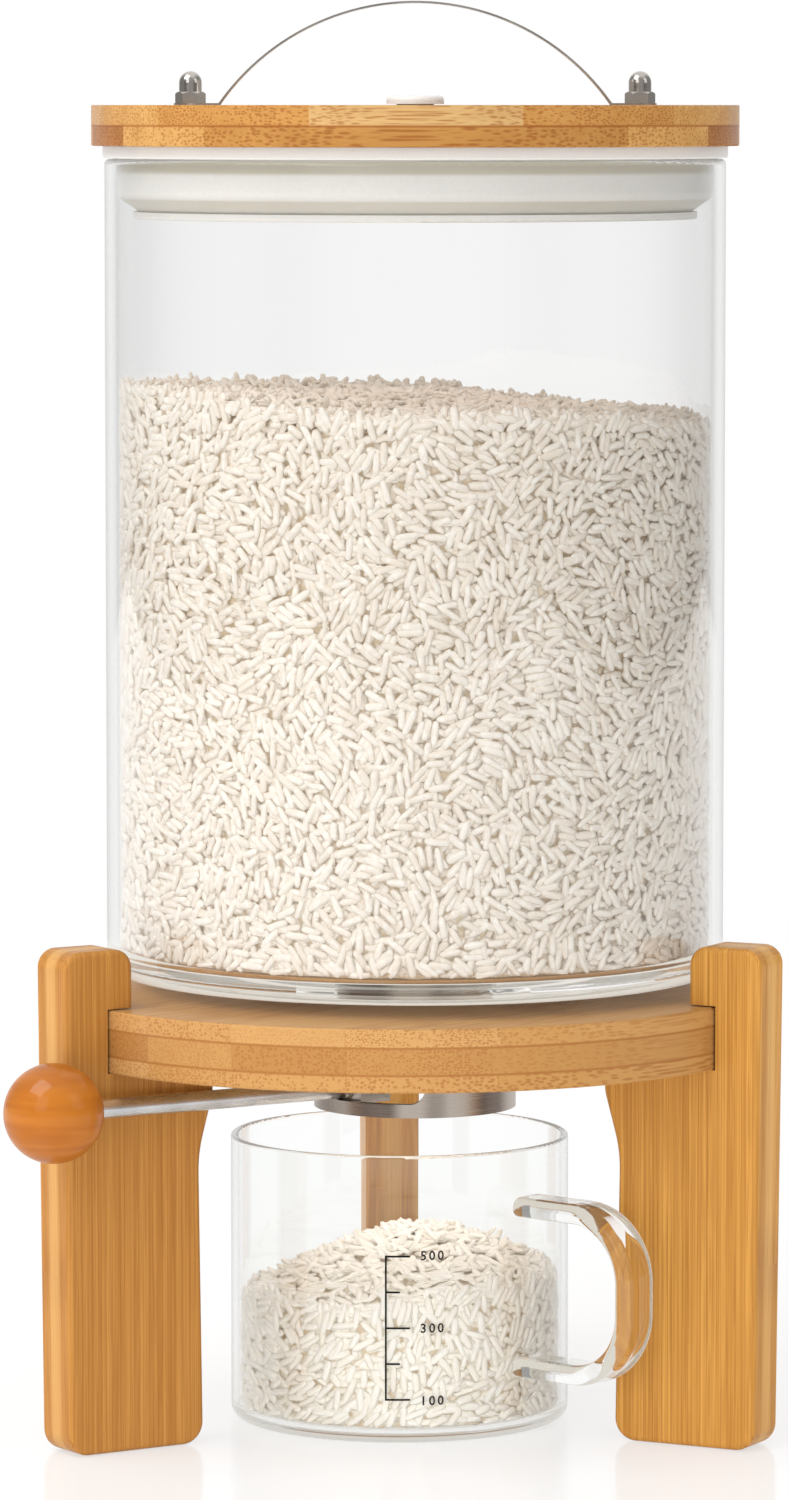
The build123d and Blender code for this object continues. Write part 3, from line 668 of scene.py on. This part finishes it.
# Lid
# Two round bamboo boards glued on each other, with the plug's block under them. Each board is made
# of strips some 33 mm wide that run from left to right, so its rim is end grain at both sides.
def strip_shades(material, edges, shades):
    """Gives each strip of a board its own shade, by the place of its edges along Y."""
    tree = material.node_tree
    low, high = edges[0], edges[-1]
    place = add(tree, "SeparateXYZ", {0: object_place(tree)}).outputs["Y"]
    share = calc(tree, "DIVIDE", calc(tree, "SUBTRACT", place, axis_y + low), high - low)
    ramp = add(tree, "ValToRGB", {"Fac": share})
    ramp.color_ramp.interpolation = "CONSTANT"
    stops = ramp.color_ramp.elements
    stops[0].color = shades[0]
    stops.remove(stops[1])
    for edge, shade in zip(edges[1:-1], shades[1:]):
        stops.new((edge - low) / (high - low)).color = shade
    surface = tree.nodes["Principled BSDF"]
    plain = surface.inputs["Base Color"].links[0].from_socket
    shaded = mixed(tree, 1.0, plain, ramp.outputs["Color"], "MULTIPLY")
    give(tree, surface, {"Base Color": shaded})


pale, golden, tan = (1.03, 1.16, 1.50, 1), (1.02, 1.02, 1.02, 1), (0.94, 0.98, 1.25, 1)
orange, russet, brown = (0.92, 0.83, 0.72, 1), (0.82, 0.72, 0.60, 1), (0.66, 0.50, 0.40, 1)
lid_strips = {
    "Strip Width": 1.0,
    "Strip Depth": 1.0,
    "Wander": 0.0,
    "Bundle Strength": 0.8,
    "Fibre Contrast": 0.2,
    "Glue Strength": 0.0,
    "Strip Contrast": 0.0,
    "Broad Contrast": 1.1,
    "Seed": 4.0,
    "Pale": (0.63, 0.370, 0.124, 1),
    "Deep": (0.445, 0.226, 0.060, 1),
    "Bundle Colour": (0.34, 0.125, 0.028, 1),
}
lid_shades = {
    "lid_top_board": (
        (-0.105, -0.0985, -0.0659, -0.0323, 0.0, 0.033, 0.066, 0.105),
        (pale, orange, golden, tan, orange, golden, tan),
        0.00095,
    ),
    "lid_lower_board": (
        (-0.105, -0.081, -0.0486, -0.014, 0.019, 0.052, 0.085, 0.105),
        (russet, golden, brown, orange, golden, tan, orange),
        0.0013,
    ),
    "lid_plug_board": ((-0.105, 0.0, 0.105), (golden, tan), 0.0012),
}
lid_middle = (axis_x, axis_y, 0)
lid_seams = (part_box("lid_top_board")[0].z,)
for board, (edges, shades, spacing) in lid_shades.items():
    strips = {**lid_strips, "Bundle Spacing": spacing}
    board_bamboo = bamboo_finish(board + "_bamboo", lid_middle, 0.0, False, strips, lid_seams)
    strip_shades(board_bamboo, edges, shades)
    finish_node(board, board_bamboo)

# Lid handle
# A strap of brushed spring steel, bowed and held at both feet by an acorn nut on a countersunk
# screw from below.
strap_steel = steel("strap_steel", "Y", 0.00025, (0.55, 0.52, 0.49, 1), (0.42, 0.40, 0.37, 1), 0.3)
finish_node("lid_handle", strap_steel)
for node in ("handle_nuts", "handle_screws"):
    finish_node(node, polished_steel)

# Measuring cup
# Clear borosilicate glass with a flattened glass rod for a handle, melted on at both ends. A black
# scale is screen-printed on the front, with plain numbers at every other mark.
# The cup glass and its handle have the jar's painted glow; the handle's edges glow a pale warm
# colour, as painted light.
cup_tint = (0.985, 0.992, 0.985, 1)
cup_glow = 0.001
painted_handle_edge_glow = (0.72, 0.68, 0.60, 1)
cup_low, cup_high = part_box("cup_glass")
finish_node("cup_glass", clear_glass("cup_glass", cup_tint, cup_low.z + cup_glow))
finish_node("cup_handle", clear_glass("handle_glass", cup_tint, 0.0, painted_handle_edge_glow))


def scale_print():
    """Black ink, a little worn."""
    material, tree, surface = new_material("scale_print")
    wear = soft_step(tree, noise(tree, object_place(tree), 2500.0, 1.0), 0.6, 0.8)
    shade = mixed(tree, wear, (0.008, 0.008, 0.008, 1), (0.04, 0.04, 0.04, 1))
    give(tree, surface, {"Base Color": shade, "Roughness": 0.6, "Specular IOR Level": 0.15})
    return material


black_print = scale_print()
finish_node("cup_scale", black_print)
cup_radius = (cup_high.x - cup_low.x) / 2
cup_axis = ((cup_low.x + cup_high.x) / 2, (cup_low.y + cup_high.y) / 2, 0)
scale_low, scale_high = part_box("cup_scale")
number_height = 0.0030
number_gap = 0.0032
cap_share = 0.72
letter_space = 1.35
stroke_swell = 0.00007
film_lift = 0.0001
for text, share in (("100", 0.0), ("300", 0.5), ("500", 1.0)):
    letters = bpy.data.curves.new("digits", "FONT")
    letters.body = text
    letters.size = number_height / cap_share
    letters.space_character = letter_space
    letters.offset = stroke_swell
    letters.extrude = film_lift / 4
    letters.resolution_u = 3
    holder = bpy.data.objects.new("digits", letters)
    digits = bpy.data.meshes.new_from_object(holder)
    bpy.data.objects.remove(holder)
    mark_height = scale_low.z + share * (scale_high.z - scale_low.z)
    for vertex in digits.vertices:
        x, y, lift = vertex.co
        bearing = (scale_high.x - cup_axis[0] + number_gap + x) / cup_radius
        reach = cup_radius + film_lift + lift
        vertex.co = (
            cup_axis[0] + reach * math.sin(bearing),
            cup_axis[1] - reach * math.cos(bearing),
            mark_height + y - number_height / 2,
        )
    digits.materials.clear()
    digits.materials.append(black_print)
    number = new_object("scale_number_" + text, digits)
    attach(number, "cup")

# Rice
# Loose long-grain rice, polished and ivory white. The grains that show, against the glass and on
# top, are modelled one by one in layers over a core of the same rice.
grain_length = 0.0071
grain_width = 0.0025
grain_thick = 0.0016
grain_sides = 6
grain_stations = (-0.93, -0.60, 0.58, 0.92)
grain_swell = (0.60, 0.96, 0.98, 0.66)
glass_gap = 0.0003
layers_deep = 4
layer_step = 0.00065
layer_blur = 0.7
core_depth = 0.0041
base_gap = 0.0005
top_gap = 0.0012
most_grains = 3400
random = np.random.default_rng(11)


def grain_pattern():
    """One grain as unit points (along, across, up), its faces, and a flat map of its surface."""
    points = [(-1.0, 0.0, 0.0)]
    for station, swell in zip(grain_stations, grain_swell):
        for side in range(grain_sides):
            turn = 2 * math.pi * side / grain_sides
            points.append((station, swell * math.cos(turn), swell * math.sin(turn)))
    points.append((1.0, 0.0, 0.0))
    last = len(points) - 1
    faces, places = [], []
    rows = len(grain_stations)
    first_row, last_row = 0.16, 0.82
    row_step = (last_row - first_row) / (rows - 1)
    for side in range(grain_sides):
        after = (side + 1) % grain_sides
        left, right = side / grain_sides, (side + 1) / grain_sides
        middle = (left + right) / 2
        faces.append((0, 1 + after, 1 + side))
        places.append((middle, 0.0, right, first_row, left, first_row))
        for row in range(rows - 1):
            base, above = 1 + row * grain_sides, 1 + (row + 1) * grain_sides
            low, high = first_row + row * row_step, first_row + (row + 1) * row_step
            faces.append((base + side, base + after, above + after, above + side))
            places.append((left, low, right, low, right, high, left, high))
        base = 1 + (rows - 1) * grain_sides
        faces.append((last, base + side, base + after))
        places.append((middle, 1.0, left, last_row, right, last_row))
    return np.array(points), faces, places


spine_stations = (-0.72, -0.24, 0.24, 0.72)
spine_reach = 0.62
cell_room = 16
batch_share = 0.25
sowing_rounds = 60
flow_waves = 6
flow_sizes = (60, 60, math.pi, 0.8)
turn_spread = 0.55


def sown(width, height, inside):
    """Places and turns of grains strewn on a sheet that joins at its sides, till few more fit in."""
    spine = np.array(spine_stations) * grain_length / 2
    reach = grain_width * spine_reach
    columns, rows = int(width / grain_length), int(height / grain_length) + 1
    column_width = width / columns
    taken = np.full((columns, rows, cell_room), -1)
    filled = np.zeros((columns, rows), int)
    places, turns = np.zeros((0, 2)), np.zeros(0)
    batch = int(width * height / (grain_length * grain_width) * batch_share)
    waves = random.uniform(-1, 1, (flow_waves, 4)) * flow_sizes

    def between(first, second):
        way = first - second
        way[:, 0] -= width * np.round(way[:, 0] / width)
        close = np.nonzero((way**2).sum(-1) < grain_length**2)[0]
        return close, way[close]

    def spine_points(turn):
        heading = np.stack([np.cos(turn), np.sin(turn)], -1)
        return spine[None, :, None] * heading[:, None, :]

    def touching(way, turn, other_turn):
        own = spine_points(turn) + way[:, None, :]
        gap = own[:, :, None, :] - spine_points(other_turn)[:, None, :, :]
        return (gap**2).sum(-1).min((1, 2)) < reach**2

    for _ in range(sowing_rounds):
        at = random.random((batch, 2)) * (width, height)
        at = at[inside(at)]
        flow = sum(w[3] * np.sin(at @ w[:2] + w[2]) for w in waves)
        turn = flow + random.normal(0, turn_spread, len(at))
        column = (at[:, 0] / column_width).astype(int)
        row = (at[:, 1] / grain_length).astype(int)
        steps = [(i, j) for i in (-1, 0, 1) for j in (-1, 0, 1)]
        near = [taken[(column + i) % columns, (row + j) % rows] for i, j in steps]
        near = np.concatenate(near, axis=1)
        own, slot = np.nonzero(near >= 0)
        other = near[own, slot]
        close, way = between(at[own], places[other])
        own, other = own[close], other[close]
        free = np.ones(len(at), bool)
        free[own[touching(way, turn[own], turns[other])]] = False
        at, turn, column, row = at[free], turn[free], column[free], row[free]
        own, other = np.triu_indices(len(at), 1)
        close, way = between(at[own], at[other])
        own, other = own[close], other[close]
        free = np.ones(len(at), bool)
        free[other[touching(way, turn[own], turn[other])]] = False
        for new, chosen in enumerate(np.nonzero(free)[0]):
            cell = column[chosen], row[chosen]
            if filled[cell] < cell_room:
                taken[cell][filled[cell]] = len(places) + new
                filled[cell] += 1
        places = np.concatenate([places, at[free]])
        turns = np.concatenate([turns, turn[free]])
    return places, turns


map_margin = 0.08
length_spread, length_range = 0.12, (0.55, 1.3)
width_spread, width_range = 0.09, (0.75, 1.2)
widest_bend = 0.2


def grains(centres, alongs, ups, name, body, material):
    """Builds the grains in pieces of at most most_grains each, and lets them ride on a body."""
    pattern, faces, places = grain_pattern()
    count = len(centres)
    alongs /= np.linalg.norm(alongs, axis=1)[:, None]
    sides = np.cross(ups, alongs)
    sides /= np.linalg.norm(sides, axis=1)[:, None]
    ups = np.cross(alongs, sides)
    lengths = grain_length / 2 * random.normal(1, length_spread, count).clip(*length_range)
    widths = grain_width / 2 * random.normal(1, width_spread, count).clip(*width_range)
    bends = random.uniform(-widest_bend, widest_bend, count)
    tones = random.random(count)
    along, across, up = pattern.T[:, None, :]
    across = across + bends[:, None] * (1 - along**2)
    flatness = grain_thick / grain_width
    at = (
        centres[:, None, :]
        + alongs[:, None, :] * (lengths[:, None] * along)[..., None]
        + sides[:, None, :] * (widths[:, None] * across)[..., None]
        + ups[:, None, :] * (widths[:, None] * flatness * up)[..., None]
    )
    corners = np.concatenate([np.array(face) for face in faces])
    sizes = np.array([len(face) for face in faces])
    face_starts = np.concatenate([[0], np.cumsum(sizes)[:-1]])
    flat = np.concatenate([np.array(place).reshape(-1, 2) for place in places])
    for number, start in enumerate(range(0, count, most_grains)):
        part = at[start : start + most_grains]
        part_tones = tones[start : start + most_grains]
        share = len(part)
        order = np.arange(share)
        mesh = bpy.data.meshes.new(f"{name}_{number + 1}")
        mesh.vertices.add(share * len(pattern))
        mesh.vertices.foreach_set("co", part.reshape(-1).astype(np.float32))
        mesh.loops.add(share * len(corners))
        links = corners[None, :] + order[:, None] * len(pattern)
        mesh.loops.foreach_set("vertex_index", links.reshape(-1).astype(np.int32))
        mesh.polygons.add(share * len(faces))
        starts = face_starts[None, :] + order[:, None] * len(corners)
        mesh.polygons.foreach_set("loop_start", starts.reshape(-1).astype(np.int32))
        mesh.update(calc_edges=True)
        mesh.validate()
        mesh.polygons.foreach_set("use_smooth", np.ones(share * len(faces), bool))
        tone = mesh.attributes.new("grain_tone", "FLOAT", "POINT")
        tone.data.foreach_set("value", np.repeat(part_tones, len(pattern)).astype(np.float32))
        columns = math.ceil(math.sqrt(share))
        cells = np.stack([order % columns, order // columns], -1)
        room = 1 - 2 * map_margin
        spread = (cells[:, None, :] + map_margin + room * flat[None, :, :]) / columns
        bake_map = mesh.uv_layers.new(name="OFBake")
        bake_map.data.foreach_set("uv", spread.reshape(-1).astype(np.float32))
        mesh.materials.append(material)
        piece = new_object(f"{name}_{number + 1}", mesh)
        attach(piece, body)


chalk_white = (0.95, 0.915, 0.85, 1)
grain_pores = 420.0


def rice_finish(name, deep, pale, through):
    """Polished rice: each grain has its own tone, and a chalky white patch here and there. The
    grains are translucent, so that a lamp's light goes on through them, weaker."""
    material, tree, surface = new_material(name)
    tone = add(tree, "Attribute", attribute_name="grain_tone").outputs["Fac"]
    chalk = noise(tree, object_place(tree), grain_pores, 1.0)
    patches = soft_step(tree, chalk, 0.5, 0.66, 0.0, 0.6)
    polished = {
        "Base Color": mixed(tree, patches, mixed(tree, tone, deep, pale), chalk_white),
        "Specular IOR Level": 0.25,
        "Roughness": soft_step(tree, chalk, 0.4, 0.7, 0.34, 0.5),
    }
    give(tree, surface, polished)
    let_through(tree, add(tree, "LightPath").outputs, surface, through)
    return material


wall_lean = 0.08
steepest_lean = 0.6
surface_room = 0.006


def wall_rice(centre, radius, bottom, surface):
    """Layers of grains against a glass wall, the first one flat on it and the others behind it."""
    highest = max(float(surface(x, 0.0)) for x in (-radius, 0.0, radius))
    tall = highest - bottom + surface_room
    for layer in range(layers_deep):
        ring = radius - glass_gap - grain_thick / 2 - layer * layer_step

        def inside(at):
            bearing = at[:, 0] / ring
            top = surface(ring * np.cos(bearing), ring * np.sin(bearing))
            return at[:, 1] + bottom + grain_width / 2 < top

        places, turns = sown(2 * math.pi * ring, tall, inside)
        bearing = places[:, 0] / ring
        lean = random.normal(0, wall_lean * (1 + layer), len(places))
        lean = lean.clip(-steepest_lean, steepest_lean)
        back = np.abs(np.sin(lean)) * grain_length / 2
        back += random.random(len(places)) * layer_step * layer_blur
        outward = np.stack([np.cos(bearing), np.sin(bearing), np.zeros_like(bearing)], -1)
        sideways = np.stack([-np.sin(bearing), np.cos(bearing), np.zeros_like(bearing)], -1)
        upward = np.array([0.0, 0.0, 1.0])
        centres = outward * (ring - back)[:, None] + centre
        end_height = np.abs(np.sin(turns) * np.cos(lean)) * grain_length / 2 + grain_width / 2
        centres[:, 2] = bottom + np.maximum(places[:, 1] + grain_width / 2, end_height)
        alongs = (
            sideways * (np.cos(turns) * np.cos(lean))[:, None]
            + upward * (np.sin(turns) * np.cos(lean))[:, None]
            + outward * np.sin(lean)[:, None]
        )
        yield centres, alongs, outward


top_lean = 0.38
steepest_top = 0.9
rim_spread = 0.25


def top_rice(centre, radius, surface):
    """Layers of grains on top, tumbled more than those against the wall."""
    for layer in range(layers_deep):
        def inside(at):
            return np.hypot(at[:, 0] - radius, at[:, 1] - radius) < radius - grain_width

        places, turns = sown(2 * radius, 2 * radius, inside)
        x, y = (places - radius).T
        rim = radius - grain_width - np.hypot(x, y) < grain_length / 2
        lean = random.normal(0, top_lean, len(x)).clip(-steepest_top, steepest_top)
        lean = lean * np.where(rim, 0.5, 1.0)
        along_rim = np.arctan2(y, x) + math.pi / 2 + random.normal(0, rim_spread, len(x))
        turns = np.where(rim, along_rim, turns)
        sunk = layer * layer_step + random.random(len(x)) * layer_step * layer_blur
        centres = np.stack([x, y, surface(x, y) - sunk], -1) + centre
        level = np.cos(lean)
        alongs = np.stack([np.cos(turns) * level, np.sin(turns) * level, np.sin(lean)], -1)
        yield centres, alongs, np.tile(np.array([0.0, 0.0, 1.0]), (len(x), 1))


core_shake = 0.0003


def core(name, body, centre, radius, bottom, surface, replaced):
    """The closed body of rice behind the layers, with a bumpy skin."""
    around, rows, rings = 144, 60, 24
    points, faces = [], []
    for row in range(rows + 1):
        for step in range(around):
            turn = 2 * math.pi * step / around
            x, y = radius * math.cos(turn), radius * math.sin(turn)
            top = float(surface(x, y)) - core_depth
            points.append((x, y, bottom + (top - bottom) * row / rows))
    for ring in range(1, rings):
        share = 1 - ring / rings
        for step in range(around):
            turn = 2 * math.pi * step / around
            x, y = radius * share * math.cos(turn), radius * share * math.sin(turn)
            points.append((x, y, float(surface(x, y)) - core_depth))
    bands = rows + rings
    for band in range(bands - 1):
        for step in range(around):
            after = (step + 1) % around
            a, b = band * around + step, band * around + after
            faces.append((a, b, b + around, a + around))
    peak = len(points)
    points.append((0, 0, float(surface(0.0, 0.0)) - core_depth))
    base = len(points)
    points.append((0, 0, bottom))
    for step in range(around):
        after = (step + 1) % around
        faces.append(((bands - 1) * around + step, (bands - 1) * around + after, peak))
        faces.append((after, step, base))
    shaken = np.array(points) + random.normal(0, core_shake, (len(points), 3)) + centre
    mesh = bpy.data.meshes.new(name)
    mesh.from_pydata(shaken.tolist(), [], faces)
    mesh.polygons.foreach_set("use_smooth", np.ones(len(faces), bool))
    mesh.materials.append(rice_core)
    piece = new_object(name, mesh)
    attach(piece, body)
    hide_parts(replaced)


def core_finish():
    """The rice behind, as a pattern of round grains with painted shade in the hollows between them.
    """
    material, tree, surface = new_material("rice_core")
    cells = {"Vector": object_place(tree), "Scale": grain_pores}
    cell = add(tree, "TexVoronoi", cells).outputs["Distance"]
    painted_gap_shade = soft_step(tree, cell, 0.2, 0.6)
    packed = {
        "Base Color": mixed(tree, painted_gap_shade, (0.90, 0.82, 0.69, 1), (0.74, 0.62, 0.45, 1)),
        "Roughness": 0.7,
        "Normal": bumped(tree, cell, 0.5, 0.0006, invert=True),
    }
    give(tree, surface, packed)
    return material


rice_core = core_finish()

# Rice in the jar
# It has settled a little lower on the right, in a gently uneven surface. The waves of the surface
# are given as two slopes, a start and a height.
jar_deep, jar_pale = (0.83, 0.75, 0.65, 1), (0.89, 0.83, 0.75, 1)
jar_rice_white = rice_finish("jar_rice_white", jar_deep, jar_pale, (0.86, 0.845, 0.82, 1))
jar_axis = (axis_x, axis_y, 0)
fill_low, fill_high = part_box("rice_fill")
fill_radius = (fill_high.x - fill_low.x) / 2
fill_bottom = fill_low.z + base_gap
fill_fall = math.tan(math.radians(4.0))
fill_middle = fill_high.z - fill_radius * fill_fall
fill_waves = (
    (31.0, 12.0, 0.4, 0.0016),
    (-22.0, 47.0, 1.9, 0.0011),
    (64.0, -35.0, 3.1, 0.0007),
    (290.0, 240.0, 1.3, 0.0006),
)


def fill_surface(x, y):
    swell = sum(size * np.sin(a * x + b * y + start) for a, b, start, size in fill_waves)
    return fill_middle - fill_fall * x + swell - top_gap


fill_core = fill_radius - core_depth
core("jar_rice_core", "stand", jar_axis, fill_core, fill_bottom, fill_surface, "rice_fill")
found = [
    *wall_rice(jar_axis, fill_radius, fill_bottom, fill_surface),
    *top_rice(jar_axis, fill_radius, fill_surface),
]
grains(*(np.concatenate(x) for x in zip(*found)), "jar_rice", "stand", jar_rice_white)

# Rice in the cup
# A low heap under the outlet, a little higher at the right wall than at the left. Its surface has
# waves of the same form.
# The same rice as in the jar, with paler shades as painted light, for the light the platform keeps
# off it; its grains also let more of the lamps' light through.
cup_deep_painted_light, cup_pale_painted_light = (0.93, 0.87, 0.77, 1), (0.96, 0.92, 0.85, 1)
cup_rice_white = rice_finish("cup_rice_white", cup_deep_painted_light, cup_pale_painted_light, (0.95, 0.94, 0.92, 1))
heap_low, heap_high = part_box("rice_heap")
heap_radius = (heap_high.x - heap_low.x) / 2
heap_bottom = heap_low.z + base_gap
heap_peak = heap_high.z - top_gap
heap_aside = 0.002
heap_rise = 0.0165
heap_slope = 0.075
heap_waves = (
    (95.0, 30.0, 0.4, 0.0014),
    (-70.0, 120.0, 1.9, 0.0010),
    (330.0, 210.0, 0.7, 0.0009),
    (-260.0, 410.0, 2.6, 0.0008),
)


def heap_surface(x, y):
    swell = sum(size * np.sin(a * x + b * y + start) for a, b, start, size in heap_waves)
    off_centre = np.hypot(x - heap_aside, y) / heap_radius
    return heap_peak - heap_rise * off_centre**2 + heap_slope * x * off_centre + swell


heap_core = heap_radius - core_depth
core("cup_rice_core", "cup", cup_axis, heap_core, heap_bottom, heap_surface, "rice_heap")
found = [
    *wall_rice(cup_axis, heap_radius, heap_bottom, heap_surface),
    *top_rice(cup_axis, heap_radius, heap_surface),
]
grains(*(np.concatenate(x) for x in zip(*found)), "cup_rice", "cup", cup_rice_white)
